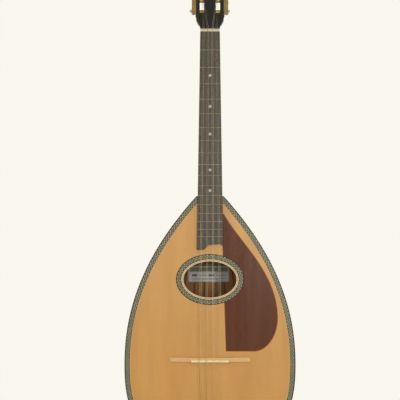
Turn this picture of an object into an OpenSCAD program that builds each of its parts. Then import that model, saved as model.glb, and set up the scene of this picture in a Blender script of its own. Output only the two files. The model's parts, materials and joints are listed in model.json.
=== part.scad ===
// Bouzouki with a staved bowl back, a floating bridge and eight strings in four courses.
// The neck runs along +Z, the front faces -Y and the treble side is +X.
// The origin is on the neck's front face at the nut, where a wall hanger takes the neck.

/* [Scale] */
// Vibrating string length, from the nut to the saddle
scale_len = 650; // [640:1:670]
// Fret number at which the body begins
body_fret = 12; // [12:1:13]
// Number of frets
fret_count = 17; // [12:1:17]

/* [Body] */
// Greatest width of the front, which is twice the bowl's depth
body_w = 340; // [320:1:350]
// Distance from the nut to the widest place
widest_at = 662; // [655:1:670]
// Length of the pointed upper curve, from its tip to the widest place
upper_run = 364; // [360:1:370]
// Fullness of the upper curve
upper_power = 2.13; // [2.05:0.01:2.2]
// Length of the round lower end
lower_run = 185; // [175:1:195]
// Squareness of the round lower end
lower_power = 2.4; // [2.2:0.05:2.6]
// Thickness of the soundboard
board_t = 2.8; // [2.6:0.1:3.2]
// Thickness of the bowl's staves
stave_t = 2.4; // [2:0.1:3]
// Number of staves in the bowl
stave_count = 21; // [15:2:25]
// Angle taken by the fillet strip between two staves, in degrees
fillet_angle = 0.7; // [0.4:0.1:1]

/* [Inlay] */
// Width of the outer binding
binding_w = 1.6; // [1.2:0.1:2]
// Width of the mosaic band round the edge
edge_mosaic_w = 8; // [7:0.5:9]
// Width of the dark line inside the mosaic band
purfling_w = 1.6; // [1:0.1:2]
// Depth of the inlays in the soundboard
inlay_t = 1.2; // [1:0.1:1.4]

/* [Sound hole] */
// Distance from the nut to the middle of the sound hole
hole_at = 492; // [488:1:496]
// Half the width of the sound hole
hole_rx = 53; // [50:1:55]
// Half the height of the sound hole
hole_rz = 36; // [34:1:38]
// Width of the pale ring round the hole
ring_w = 4; // [3:0.5:5]
// Width of the mosaic ring outside it
rosette_w = 10.5; // [9:0.5:11]

/* [Neck] */
// Width of the fingerboard at the nut
nut_w = 38.8; // [38:0.1:42]
// Width of the fingerboard at its lower end
board_end_w = 52; // [50:0.5:54]
// Distance from the nut to the lower end of the fingerboard
board_end = 423; // [420:1:425]
// Thickness of the fingerboard
board_h = 5.5; // [5:0.1:6.5]
// Depth of the neck behind the fingerboard at the nut
neck_depth = 18; // [17:0.5:20]

/* [Head] */
// Backward tilt of the head, in degrees
head_tilt = 12; // [8:0.5:14]
// Width of the head
head_w = 55.6; // [54:0.2:57]
// Thickness of the head's wood
head_t = 15; // [14:0.5:16]
// Length of the head
head_len = 150; // [146:1:160]
// Distance between string rollers
roller_pitch = 24; // [23.5:0.1:25]
// Distance along the head to the first roller
first_roller = 37.5; // [37:0.5:39]

/* [Strings and bridge] */
// Height of the strings over the front at the nut
nut_h = 7.6; // [7.4:0.1:8]
// Height of the strings over the front at the saddle
saddle_h = 13; // [12:0.1:14]
// Length of the bridge from wing tip to wing tip
bridge_len = 160; // [150:1:165]
// Length of the bone saddle
saddle_len = 75; // [70:1:80]

/* [Hidden] */
eps = 0.01;
side_steps = 36;               // points along one side of the body's outline
half_w = body_w / 2;
body_at = scale_len * (1 - pow(2, -body_fret / 12)) + 1;
tail_at = widest_at + lower_run;

strings = 8;
course_gap_nut = 8.5;
course_gap_saddle = 13.8;
pair_gap_nut = 2.4;
pair_gap_saddle = 3;
string_rs = [0.36, 0.2, 0.3, 0.17, 0.22, 0.22, 0.15, 0.15];

saddle_t = 4.4;
saddle_z = -scale_len - 3.3;
bridge_z = -scale_len - 1;
bridge_foot_h = 8;
wing_h = 4.5;
wing_tip_h = 2.5;

tail_plate_t = 1;
tail_plate_w = 46;
tail_plate_len = 62;
tail_plate_y = -6;
tail_screw_r = 1.6;
hook_z = -tail_at + tail_plate_len - 8;

rollers_per_side = 4;
roller_y = 6;                  // depth of the roller axis behind the head's front
roller_r = 4;
roller_play = 0.05;
slot_x = 16;                   // distance from the centre line to a slot's middle
slot_w = 8.8;
slot_lo = first_roller - 5.5;
slot_hi = first_roller + 3 * roller_pitch + 15;
overlay_t = 2;
web_depth = 7;                 // how far a roller reaches into the head's centre

plate_t = 1.2;
plate_lo = first_roller - 8;
plate_hi = first_roller + 3 * roller_pitch + 13;
plate_x = head_w / 2;
gear_teeth = 14;
gear_r = 5.6;                  // pitch radius
tooth_a = 0.5;                 // half the tooth's depth
gear_t = 2.6;
worm_r = 2.8;                  // pitch radius of the worm
worm_play = 0.5;
worm_lead = 2 * PI * gear_r / gear_teeth;
worm_rise = gear_r + worm_r + worm_play;
worm_len = 8.4;
gear_x = plate_x + plate_t + worm_r + tooth_a + 0.45;
shaft_r = 1.9;
shaft_play = 0.05;
lug_t = 1.4;
lug_gap = 0.4;
button_w = 17;
button_len = 14;
button_t = 7;
button_y = head_t + 5;

tuners = [for (i = [0:1:2 * rollers_per_side - 1]) i];
function tuner_side(i) = i < rollers_per_side ? -1 : 1;
function tuner_row(i) = i % rollers_per_side;
function roller_z(i) = first_roller + tuner_row(i) * roller_pitch;
function worm_z(i) = roller_z(i) + worm_rise;
function numbered(name) = [for (i = tuners) str(name, i + 1)];

// ---- Outline of the front ----

// Half the body's width at distance d below the nut, above its widest place
function upper_half(d) = half_w * (1 - pow((widest_at - d) / upper_run, upper_power));
function upper_slope(d) =
    half_w * upper_power / upper_run * pow((widest_at - d) / upper_run, upper_power - 1);

// Point of the right-hand rim: u runs from 0 at the neck to 1 at the tail
function upper_at(u) = body_at + (widest_at - body_at) * u * 2;
function lower_angle(u) = 90 * (2 * u - 1);
function rim(u) = u < 0.5
    ? [upper_half(upper_at(u)), -upper_at(u)]
    : let (a = lower_angle(u), k = 2 / lower_power)
        [half_w * pow(cos(a), k), -widest_at - lower_run * pow(sin(a), k)];

// Outward direction of the rim there
function rim_out(u) = let (
    a = lower_angle(u),
    k = 2 - 2 / lower_power,
    v = u < 0.5
        ? [1, upper_slope(upper_at(u))]
        : [pow(cos(a), k) / half_w, -pow(sin(a), k) / lower_run])
    v / norm(v);
function inset(u, t) = rim(u) - t * rim_out(u);

// The front's outline, moved inward by t
module outline(t = 0) {
    right = [for (i = [0:side_steps]) inset(i / side_steps, t)];
    left = [for (i = [side_steps - 1:-1:0]) let (p = right[i]) [-p[0], p[1]]];
    polygon(concat(right, left));
}

// A flat shape drawn in X and Z, with its front face at y and its thickness going back
module slab(y, t) {
    translate([0, y + t, 0]) rotate([90, 0, 0]) linear_extrude(t) children();
}

// Band between two insets of the outline, open under the fingerboard
module rim_band(from, to) {
    difference() {
        outline(from);
        outline(to);
        translate([0, -body_at - 20]) square([nut_w, 60], center = true);
    }
}

module oval(grow) {
    translate([0, -hole_at]) scale([hole_rx + grow, hole_rz + grow]) circle(1, $fn = 96);
}

function bezier(p, t) =
    pow(1 - t, 3) * p[0] + 3 * t * pow(1 - t, 2) * p[1] + 3 * t * t * (1 - t) * p[2]
    + pow(t, 3) * p[3];
function curve(p, n) = [for (i = [0:n]) bezier(p, i / n)];

// ---- Front ----

guard_tip = [28, -362];
guard_side = [135, -566];
guard_foot = [90, -635];
module pickguard_shape() {
    outer = curve([guard_tip, [60, -420], [132, -475], guard_side], 18);
    lower = curve([guard_side, [135, -600], [118, -632], guard_foot], 12);
    difference() {
        polygon(concat([[22, -362]], outer, lower, [[31.4, -635], [24.6, -425], [22, -425]]));
        oval(ring_w + rosette_w);
    }
}

module soundboard() {
    color([0.79, 0.6, 0.34]) difference() {
        slab(0, board_t) difference() {
            outline(binding_w);
            oval(0);
        }
        slab(-eps, inlay_t + eps) rim_band(binding_w - 1, binding_w + edge_mosaic_w + purfling_w);
        slab(-eps, inlay_t + eps) oval(ring_w + rosette_w);
        slab(-eps, inlay_t + eps) pickguard_shape();
    }
}

brace_places = [452, 538, 600, 690];
brace_h = 9;
brace_t = 7;
module soundboard_braces() {
    color([0.85, 0.7, 0.45]) for (d = brace_places) {
        reach = (d < widest_at ? upper_half(d) : half_w) - 16;
        translate([-reach, board_t, -d - brace_t / 2]) cube([2 * reach, brace_h, brace_t]);
    }
}

module rosette_mosaic() {
    color([0.5, 0.49, 0.38]) slab(0, inlay_t) difference() {
        oval(ring_w + rosette_w);
        oval(ring_w);
    }
}

module rosette_ring() {
    color([0.82, 0.74, 0.56]) slab(0, inlay_t) difference() {
        oval(ring_w);
        oval(0);
    }
}

module edge_mosaic() {
    color([0.5, 0.49, 0.38]) slab(0, inlay_t) rim_band(binding_w, binding_w + edge_mosaic_w);
}

module edge_purfling() {
    color([0.2, 0.14, 0.09]) slab(0, inlay_t)
        rim_band(binding_w + edge_mosaic_w, binding_w + edge_mosaic_w + purfling_w);
}

module edge_binding() {
    color([0.16, 0.13, 0.1]) slab(0, board_t) rim_band(0, binding_w);
}

module pickguard() {
    color([0.38, 0.22, 0.14]) slab(0, inlay_t) pickguard_shape();
}

// ---- Bowl ----

bowl_last_step = 33;           // the staves stop at this step of the outline, under the tail cap
bowl_points = [for (i = [0:bowl_last_step]) i / side_steps];

// Profile of a shell between two insets, as radius and height
module shell_profile(outer, inner) {
    there = [for (u = bowl_points) inset(u, outer)];
    back = [for (i = [len(bowl_points) - 1:-1:0]) inset(bowl_points[i], inner)];
    polygon(concat(there, back));
}

// Part of the bowl from angle a on, turning s degrees about the long axis
module bowl_part(a, s, outer, inner) {
    translate([0, board_t, 0]) rotate([0, 0, a]) rotate_extrude(angle = s, $fn = 96)
        shell_profile(outer, inner);
}

stave_step = 180 / stave_count;
module bowl_staves() {
    color([0.36, 0.17, 0.09]) for (i = [0:stave_count - 1]) {
        a = i * stave_step + (i == 0 ? 0 : fillet_angle / 2);
        b = (i + 1) * stave_step - (i == stave_count - 1 ? 0 : fillet_angle / 2);
        bowl_part(a, b - a, 0, stave_t);
    }
}

module bowl_fillets() {
    color([0.85, 0.72, 0.48]) for (i = [1:stave_count - 1])
        bowl_part(i * stave_step - fillet_angle / 2, fillet_angle, 0, stave_t);
}

// Point at step s of the outline, moved inward by t, on the straight line between whole steps
function at_step(s, t) = let (i = floor(s), f = s - i)
    inset(i / side_steps, t) * (1 - f) + inset((i + 1) / side_steps, t) * f;

// Profile of a thin sheet inside the bowl between two steps of the outline
module sheet_profile(first, last, outer, thickness) {
    steps = concat([first], [for (i = [ceil(first + eps):floor(last - eps)]) i], [last]);
    polygon(concat([for (s = steps) at_step(s, outer)],
        [for (i = [len(steps) - 1:-1:0]) at_step(steps[i], outer + thickness)]));
}

// The lining is pieced from sheets: each covers one band of the length and one strip round the bowl
lining_t = 0.8;
lining_bands = [0, 4, 8, 12, 16, 20, 24, 28, bowl_last_step];
lining_strips = 9;
lining_joint = 0.2;            // degrees left open between neighbouring strips
band_joint = 0.02;             // share of a step left open between neighbouring bands
module bowl_lining() {
    strip = 180 / lining_strips;
    color([0.34, 0.24, 0.15]) translate([0, board_t, 0])
        for (b = [0:len(lining_bands) - 2], k = [0:lining_strips - 1])
            rotate([0, 0, k * strip + lining_joint / 2])
                rotate_extrude(angle = strip - lining_joint, $fn = 96) sheet_profile(
                    lining_bands[b] + (b == 0 ? 0 : band_joint), lining_bands[b + 1] - band_joint,
                    stave_t, lining_t);
}

inside_gap = 0.3;              // between the lining and the parts inside it
block_steps = 3;               // outline steps that the neck block fills
rim_lining_w = 7;
rim_lining_h = 10;
tail_block_reach = 26;
module rim_linings() {
    first = stave_t + lining_t + 1;
    top = upper_at(block_steps / side_steps) + 4;
    color([0.8, 0.66, 0.42]) slab(board_t, rim_lining_h) difference() {
        outline(first);
        outline(first + rim_lining_w);
        translate([-half_w, -top]) square([body_w, body_w]);
        translate([-half_w, -tail_at - 10]) square([body_w, tail_block_reach + 10]);
    }
}

// Solid end of the bowl between two steps of the outline
module bowl_end(first, last) {
    pts = [for (i = [first:last]) inset(i / side_steps, stave_t + lining_t + inside_gap)];
    translate([0, board_t, 0]) rotate_extrude(angle = 180, $fn = 96)
        polygon(concat([[0, pts[0][1]]], pts, [[0, pts[len(pts) - 1][1]]]));
}

module neck_block() {
    color([0.75, 0.58, 0.36]) bowl_end(0, block_steps);
}

tail_steps = 5;                // outline steps that the tail block fills
module tail_block() {
    color([0.75, 0.58, 0.36]) difference() {
        bowl_end(side_steps - tail_steps, side_steps);
        tail_holes();
    }
}

// Holes in the tail for the tailpiece's screws and the strap button's peg
module tail_holes() {
    tail_screw_places() translate([0, 0, -8]) cylinder(h = 40, r = tail_screw_r + hole_play, $fn = 32);
    translate([0, strap_y, -tail_at - 8]) cylinder(h = 40, r = strap_peg_r + hole_play, $fn = 32);
}

cap_t = 1.6;
cap_first = 0.88;
cap_points = [for (i = [0:10]) cap_first + (1 - cap_first) * i / 10];
module tail_cap() {
    outer = [for (u = cap_points) inset(u, -cap_t)];
    inner = [for (i = [len(cap_points) - 1:-1:0]) inset(cap_points[i], -0.02)];
    color([0.3, 0.14, 0.08]) difference() {
        translate([0, board_t, 0]) rotate_extrude(angle = 180, $fn = 96) polygon(concat(outer, inner));
        tail_holes();
    }
}

strap_y = 42;
strap_peg_r = 3;
hole_play = 0.05;
strap_head_r = 6.5;
strap_head_t = 3;
module strap_button() {
    top = -tail_at + 2.5;
    color([0.1, 0.09, 0.08]) translate([0, strap_y, top]) rotate([180, 0, 0]) rotate_extrude($fn = 48)
        polygon([[0, -14], [strap_peg_r, -14], [strap_peg_r, 2.6], [6, 2.6], [6, 4.4], [3.8, 6], [3.8, 11],
            [strap_head_r, 13], [strap_head_r, 13 + strap_head_t], [0, 13 + strap_head_t]]);
}

label_at = 488;
label_x = -1.8;
label_w = 87;
label_h = 36;
label_t = 0.4;
label_turn = 50;               // degrees of the bowl that the label is cut from
// Step of the outline at distance d below the nut, on the upper curve
function step_at(d) = (d - body_at) / (widest_at - body_at) / 2 * side_steps;
module paper_label() {
    color([0.66, 0.65, 0.6]) intersection() {
        translate([0, board_t, 0]) rotate([0, 0, 90 - label_turn / 2])
            rotate_extrude(angle = label_turn, $fn = 96)
                sheet_profile(step_at(label_at - label_h / 2), step_at(label_at + label_h / 2),
                    stave_t + lining_t + 0.2, label_t);
        translate([label_x - label_w / 2, 0, -label_at - label_h]) cube([label_w, body_w, 2 * label_h]);
    }
}

// ---- Neck and head ----

// Puts children into the head's own frame: x across, y back, z along the head
module head_frame() {
    translate([0, 0, nut_len]) rotate([-head_tilt, 0, 0]) children();
}

nut_len = 6;
neck_half = nut_w / 2;
head_from = 12;
function board_half(d) = neck_half + (board_end_w - nut_w) / 2 * d / board_end;

// Closed solid through rings of points, which all have the same count and turn the same way
module skin(rings) {
    n = len(rings[0]);
    last = len(rings) - 1;
    sides = [for (i = [0:last - 1], k = [0:n - 1])
        [i * n + k, i * n + (k + 1) % n, (i + 1) * n + (k + 1) % n, (i + 1) * n + k]];
    triangles = [for (q = sides) each [[q[0], q[1], q[2]], [q[0], q[2], q[3]]]];
    first_cap = [for (k = [n - 1:-1:0]) k];
    last_cap = [for (k = [0:n - 1]) last * n + k];
    polyhedron(points = [for (r = rings) each r], faces = concat(triangles, [first_cap, last_cap]));
}

// Cross-section of the neck: flat in front, round behind, squarer as power grows
neck_sides = 20;
function neck_section(half, depth, power) = [for (i = [0:neck_sides]) let (a = 180 * i / neck_sides)
    [half * sign(cos(a)) * pow(abs(cos(a)), 2 / power), depth * pow(sin(a), 2 / power)]];
function neck_ring(d, depth) = [for (p = neck_section(board_half(d), depth, 2.2)) [p[0], p[1], -d]];
function head_ring(z, t, power) =
    [for (p = neck_section(head_half(z), t, power)) from_head([p[0], p[1], z])];

heel_run = 60;
module neck() {
    heel = upper_half(body_at) + board_t;
    heel_rings = [for (i = [0:6]) let (t = i / 6)
        neck_ring(body_at - heel_run * t, heel - (heel - neck_depth - 3) * shoulder(t))];
    shaft_rings = [for (i = [3:-1:0]) neck_ring((body_at - heel_run - 10) * i / 3, neck_depth + i)];
    scarf = [neck_ring(-nut_len, neck_depth - 1), head_ring(4, head_t + 1.5, 2.6),
        head_ring(8, head_t + 0.5, 4), head_ring(head_from, head_t, 12)];
    color([0.3, 0.16, 0.1]) skin(concat(heel_rings, shaft_rings, scarf));
}

// Half the head's width at height z along the head: the shoulders, then straight sides
shoulder_lo = 3;
shoulder_hi = 25;
function shoulder(t) = t * t * (3 - 2 * t);
function head_half(z) = let (t = (z - shoulder_lo) / (shoulder_hi - shoulder_lo))
    neck_half + 0.4 + (head_w / 2 - neck_half - 0.4) * shoulder(min(max(t, 0), 1));
crest = 9;
module head_outline(from) {
    sides = [for (i = [0:8]) let (z = from + (shoulder_hi - from) * i / 8) [head_half(z), z]];
    top = [for (i = [0:16]) let (x = head_w / 2 * (1 - i / 8))
        [x, head_len - crest + crest * (0.5 + 0.5 * cos(360 * x / head_w))]];
    polygon(concat(sides, top, [for (i = [8:-1:0]) [-sides[i][0], sides[i][1]]]));
}

module slot_shape() {
    for (s = [-1, 1]) translate([s * slot_x, 0]) {
        translate([-slot_w / 2, slot_lo + slot_w / 2]) square([slot_w, slot_hi - slot_lo - slot_w]);
        for (z = [slot_lo + slot_w / 2, slot_hi - slot_w / 2]) translate([0, z]) circle(slot_w / 2, $fn = 32);
    }
}

// Ramp at the lower end of each slot, which the lowest string runs down
ramp_len = 20;
module slot_ramps() {
    for (s = [-1, 1]) translate([s * slot_x - slot_w / 2, 0, slot_lo + slot_w / 2])
        rotate([90, 0, 90]) linear_extrude(slot_w)
            polygon([[-overlay_t - 1, -ramp_len - 3], [-overlay_t, -ramp_len], [2.4, 0],
                [-overlay_t - 1, 0]]);
}

module head_slab(y, t, from) {
    head_frame() difference() {
        slab(y, t) head_outline(from);
        slab(y - 1, t + 2) slot_shape();
        slot_ramps();
    }
}

module headstock() {
    color([0.22, 0.12, 0.08]) difference() {
        head_slab(0, head_t, head_from);
        head_frame() for (i = tuners) roller_hole(i);
    }
}

// Bearing hole through the side rail and into the centre of the head
module roller_hole(i) {
    inner = slot_x - slot_w / 2 - web_depth;
    translate([tuner_side(i) * inner, roller_y, roller_z(i)]) rotate([0, tuner_side(i) * 90, 0])
        cylinder(h = head_w, r = roller_r + roller_play, $fn = 48);
}

module head_overlay() {
    color([0.1, 0.1, 0.08]) head_slab(-overlay_t, overlay_t, 0.6);
}

tongue = 10;                   // how much further the fingerboard reaches on the bass side
module fingerboard() {
    w = board_half(board_end);
    tip_x = -14;
    end_curve = [for (i = [0:10]) let (t = i / 10)
        [tip_x + t * 12, -board_end - tongue + tongue * shoulder(t)]];
    color([0.38, 0.33, 0.27]) slab(-board_h, board_h)
        polygon(concat([[-neck_half, 0], [-w - 0.15, -board_end - tongue]], end_curve,
            [[w, -board_end + 1.5], [neck_half, 0]]));
}

fret_w = 1.8;
fret_h = 1.1;
function fret_at(n) = scale_len * (1 - pow(2, -n / 12));
module frets() {
    crown = [for (i = [0:8]) let (a = 180 * i / 8) [fret_w / 2 * cos(a), fret_h * sin(a)]];
    color([0.75, 0.74, 0.7]) for (n = [1:fret_count]) {
        w = board_half(fret_at(n)) - 0.4;
        translate([-w, -board_h, -fret_at(n)]) rotate([90, 0, 90]) linear_extrude(2 * w)
            polygon([for (p = crown) [-p[1], p[0]]]);
    }
}

marker_r = 2.8;
marked_frets = [3, 5, 7, 10, 12];
module position_markers() {
    color([0.88, 0.85, 0.78]) for (n = marked_frets)
        translate([0, -board_h, -(fret_at(n) + fret_at(n - 1)) / 2]) rotate([90, 0, 0])
            cylinder(h = 0.12, r = marker_r, $fn = 48);
}

nut_top = nut_h - 0.2;
nut_fall = 1.4;                // how far the nut's top slopes down toward the head
module nut() {
    color([0.78, 0.74, 0.62]) translate([-neck_half, 0, 0]) rotate([90, 0, 90]) linear_extrude(nut_w)
        polygon([[0, 0], [-nut_top, 0], [-nut_top, nut_len / 2], [nut_fall - nut_top, nut_len],
            [0, nut_len]]);
}

// ---- Bridge, tailpiece and strings ----

module bridge_base() {
    foot = saddle_len / 2 + 4;
    tip = bridge_len / 2;
    color([0.8, 0.64, 0.4]) difference() {
        translate([0, 0, bridge_z - 4.5]) linear_extrude(9)
            polygon(concat([[-tip, 0], [-tip, -wing_tip_h]],
                [for (i = [0:6]) let (t = i / 6)
                    [-tip + (tip - foot - 8) * t, -wing_tip_h - (wing_h - wing_tip_h) * shoulder(t)]],
                [[-foot, -bridge_foot_h], [foot, -bridge_foot_h]],
                [for (i = [6:-1:0]) let (t = i / 6)
                    [tip - (tip - foot - 8) * t, -wing_tip_h - (wing_h - wing_tip_h) * shoulder(t)]],
                [[tip, -wing_tip_h], [tip, 0]]));
        translate([-saddle_len / 2, -bridge_foot_h - 1, saddle_z - saddle_t / 2])
            cube([saddle_len, 4.5, saddle_t]);
    }
}

module bridge_saddle() {
    seat = bridge_foot_h - 3.5;
    color([0.93, 0.88, 0.74]) translate([-saddle_len / 2, -saddle_h, saddle_z - saddle_t / 2])
        cube([saddle_len, saddle_h - seat, saddle_t]);
}

// Half-course side of string k: -1 for the left string of its pair, 1 for the right
function pair_side(k) = k % 2 == 0 ? -1 : 1;
function course_x(k, gap) = (floor(k / 2) - 1.5) * gap;
function nut_x(k) = course_x(k, course_gap_nut) + pair_side(k) * pair_gap_nut / 2;
function saddle_x(k) = course_x(k, course_gap_saddle) + pair_side(k) * pair_gap_saddle / 2;
function hook_x(k) = (k - 3.5) * 5;

// Tuner that string k is wound on: outer strings go to the lowest rollers
function string_row(k) = k < 4 ? k : 7 - k;
lanes = [17, 15.3, 17.1, 18.9];
function lane_x(k) = (k < 4 ? -1 : 1) * lanes[string_row(k)];

// A point given in the head's frame, in the part's frame
function from_head(p) = [
    p[0],
    p[1] * cos(head_tilt) + p[2] * sin(head_tilt),
    nut_len - p[1] * sin(head_tilt) + p[2] * cos(head_tilt)];

function string_path(k) = let (r = string_rs[k]) [
    [hook_x(k), tail_plate_y - 1.2, hook_z],
    [saddle_x(k), -saddle_h - r, saddle_z],
    [nut_x(k), -nut_top - r - 0.05, nut_len / 2],
    from_head([lane_x(k), roller_y - roller_r - r - 0.25, first_roller + string_row(k) * roller_pitch])];

// Ring of radius r round point i of path p, square to the string's bisector there
string_sides = 8;
function along(p, i) = let (v = p[min(i + 1, len(p) - 1)] - p[max(i - 1, 0)]) v / norm(v);
function string_ring(p, i, r) = let (
    v = along(p, i),
    side = cross(v, [0, 1, 0]) / norm(cross(v, [0, 1, 0])),
    up = cross(side, v))
    [for (k = [0:string_sides - 1]) let (a = 360 * k / string_sides)
        p[i] + r * (cos(a) * side + sin(a) * up)];

module string(k) {
    p = string_path(k);
    skin([for (i = [0:len(p) - 1]) string_ring(p, i, string_rs[k])]);
}

module strings_wound() {
    color([0.62, 0.5, 0.3]) for (k = [0, 2]) string(k);
}

module strings_plain() {
    color([0.75, 0.75, 0.74]) for (k = [1, 3, 4, 5, 6, 7]) string(k);
}

module tailpiece() {
    end_y = 34;
    color([0.75, 0.74, 0.7]) {
        difference() {
            translate([-tail_plate_w / 2, tail_plate_y, -tail_at - cap_t - 0.6])
                cube([tail_plate_w, tail_plate_t, tail_plate_len]);
            for (k = [0:strings - 1]) translate([hook_x(k), tail_plate_y - 1, hook_z + 2.5])
                rotate([-90, 0, 0]) cylinder(h = 3, r = 0.9, $fn = 24);
        }
        difference() {
            translate([-tail_plate_w / 2, tail_plate_y, -tail_at - cap_t - 0.6 - tail_plate_t])
                cube([tail_plate_w, end_y - tail_plate_y, tail_plate_t + 0.5]);
            tail_screw_places() translate([0, 0, -6]) cylinder(h = 12, r = tail_screw_r + 0.1, $fn = 32);
        }
        for (k = [0:strings - 1]) translate([hook_x(k) - 0.9, tail_plate_y - 2.4, hook_z - 1.6])
            cube([1.8, 2.5, 1.2]);
        for (s = [-1, 1]) translate([s * (tail_plate_w / 2 - 1) - 1, tail_plate_y, -tail_at + 4])
            cube([2, -tail_plate_y, 8]);
    }
}

module tail_screw_places() {
    for (p = [[-15, 12], [15, 12], [0, 26]]) translate([p[0], p[1], -tail_at - cap_t]) children();
}

module tailpiece_screws() {
    head_z = -0.6 - tail_plate_t;
    color([0.8, 0.78, 0.7]) tail_screw_places() {
        translate([0, 0, head_z - 1.4]) cylinder(h = 1.4, r = 3, $fn = 32);
        translate([0, 0, head_z - 0.1]) cylinder(h = 12, r = tail_screw_r, $fn = 32);
    }
}

// ---- Machine heads ----

// Places children at tuner i's worm, with z' along the worm shaft, pointing back
module at_worm(i) {
    head_frame() translate([tuner_side(i) * gear_x, roller_y, worm_z(i)]) rotate([-90, 0, 0]) children();
}

lug_w = 7;
guard_front = -1.6;            // front face of the flange that covers the gears
guard_t = 1.2;
plate_back = head_t - 0.5;
function lug_ys() = [-worm_len / 2 - lug_gap - lug_t, worm_len / 2 + lug_gap];
module tuner_plate(side) {
    x = side > 0 ? plate_x : -plate_x - plate_t;
    x_out = gear_x + lug_w / 2;
    first = side < 0 ? 0 : rollers_per_side;
    color([0.72, 0.62, 0.36]) head_frame() difference() {
        union() {
            translate([x, guard_front, plate_lo])
                cube([plate_t, plate_back - guard_front, plate_hi - plate_lo]);
            translate([side > 0 ? plate_x : -x_out, guard_front, plate_lo])
                cube([x_out - plate_x, guard_t, plate_hi - plate_lo]);
            for (i = [first:first + rollers_per_side - 1])
                translate([side > 0 ? plate_x : -x_out, guard_front, worm_z(i) - lug_w / 2])
                    cube([x_out - plate_x, roller_y + lug_ys()[0] + lug_t - guard_front, lug_w]);
            for (i = [first:first + rollers_per_side - 1]) for (y = lug_ys())
                translate([side > 0 ? plate_x : -x_out, roller_y + y, worm_z(i) - lug_w / 2])
                    cube([x_out - plate_x, lug_t, lug_w]);
        }
        for (i = [first:first + rollers_per_side - 1]) {
            translate([side * (plate_x - 2), roller_y, roller_z(i)]) rotate([0, side * 90, 0])
                cylinder(h = plate_t + 4, r = shaft_r + 0.6 + shaft_play, $fn = 32);
            translate([side * gear_x, -2, worm_z(i)]) rotate([-90, 0, 0])
                cylinder(h = head_t + 4, r = shaft_r + shaft_play, $fn = 32);
        }
        for (z = plate_screw_zs()) translate([side * (plate_x - 2), head_t / 2, z]) rotate([0, side * 90, 0])
            cylinder(h = plate_t + 4, r = plate_screw_r + 0.1, $fn = 24);
    }
}

plate_screw_r = 1.2;
screw_rise = 15;               // from a roller to the plate screw above its worm
function plate_screw_zs() = [for (row = [0, 2]) first_roller + row * roller_pitch + screw_rise];
module tuner_plate_screws() {
    color([0.8, 0.72, 0.48]) head_frame() for (s = [-1, 1]) for (z = plate_screw_zs())
        translate([s * (plate_x + plate_t), head_t / 2, z]) rotate([0, s * 90, 0]) {
            cylinder(h = 1.2, r = 2.2, $fn = 32);
            translate([0, 0, -plate_t]) cylinder(h = plate_t + 0.2, r = plate_screw_r, $fn = 24);
        }
}

module tuner_plate_left() { tuner_plate(-1); }
module tuner_plate_right() { tuner_plate(1); }

// Single-start worm: an off-centre circle twisted once for each lead of its length
worm_sides = 12;
worm_slices = 8;               // slices in one turn of the thread
module worm_shaft(i) {
    turns = worm_len / worm_lead;
    color([0.7, 0.66, 0.5]) at_worm(i) {
        translate([0, 0, -worm_len / 2])
            linear_extrude(worm_len, twist = -360 * turns, slices = ceil(worm_slices * turns))
                rotate(180 * turns + 90) translate([tooth_a, 0]) circle(worm_r, $fn = worm_sides);
        translate([0, 0, -worm_len / 2 - lug_gap - lug_t - 0.8])
            cylinder(h = worm_len + lug_gap + lug_t + 1.6, r = shaft_r, $fn = 32);
        cylinder(h = button_y - roller_y + 5, r = shaft_r, $fn = 32);
    }
}

// Flat oval button with a round collar
rest_turns = [20, 75, -35, 50, -20, 60, 5, -60];
module tuning_button(i) {
    color([0.86, 0.8, 0.64]) at_worm(i) translate([0, 0, button_y - roller_y])
        rotate([0, 0, rest_turns[i]]) difference() {
            union() {
                cylinder(h = 4, r = 3.6, $fn = 32);
                intersection() {
                    translate([0, 0, button_len / 2 + 1]) scale([button_w / 2, button_t / 2, button_len / 2])
                        sphere(1, $fn = 48);
                    translate([-button_w, -button_t / 2 + 0.5, 0])
                        cube([2 * button_w, button_t - 1, 2 * button_len]);
                }
            }
            translate([0, 0, -1]) cylinder(h = 6.01, r = shaft_r + 0.02, $fn = 32);
        }
}

// Gear outline, with a tooth gap facing the worm's thread at rest
module gear_shape() {
    steps = gear_teeth * 8;
    polygon([for (k = [0:steps - 1]) let (a = 360 * k / steps)
        (gear_r + tooth_a * cos(gear_teeth * a)) * [cos(a), sin(a)]]);
}

module string_roller(i) {
    inner = slot_x - slot_w / 2 - web_depth + 0.3;
    side = tuner_side(i);
    color([0.9, 0.86, 0.76]) head_frame() translate([0, roller_y, roller_z(i)]) rotate([0, side * 90, 0]) {
        translate([0, 0, inner]) cylinder(h = plate_x - 0.3 - inner, r = roller_r, $fn = 48);
        translate([0, 0, plate_x - 0.4]) cylinder(h = gear_x - plate_x, r = shaft_r + 0.6, $fn = 32);
        translate([0, 0, gear_x - gear_t / 2]) linear_extrude(gear_t) gear_shape();
        translate([0, 0, gear_x]) cylinder(h = gear_t / 2 + 1.2, r = 2.4, $fn = 32);
    }
}

soundboard();
soundboard_braces();
rosette_mosaic();
rosette_ring();
edge_mosaic();
edge_purfling();
edge_binding();
pickguard();
paper_label();
bowl_staves();
bowl_fillets();
bowl_lining();
rim_linings();
neck_block();
tail_block();
tail_cap();
strap_button();
neck();
headstock();
head_overlay();
fingerboard();
frets();
position_markers();
nut();
bridge_base();
bridge_saddle();
tailpiece();
tailpiece_screws();
strings_wound();
strings_plain();
tuner_plate_left();
tuner_plate_right();
tuner_plate_screws();
for (i = tuners) {
    worm_shaft(i);
    tuning_button(i);
    string_roller(i);
}
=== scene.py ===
import json
import math
import random

import bmesh
import bpy
from mathutils import Matrix, Vector


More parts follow.
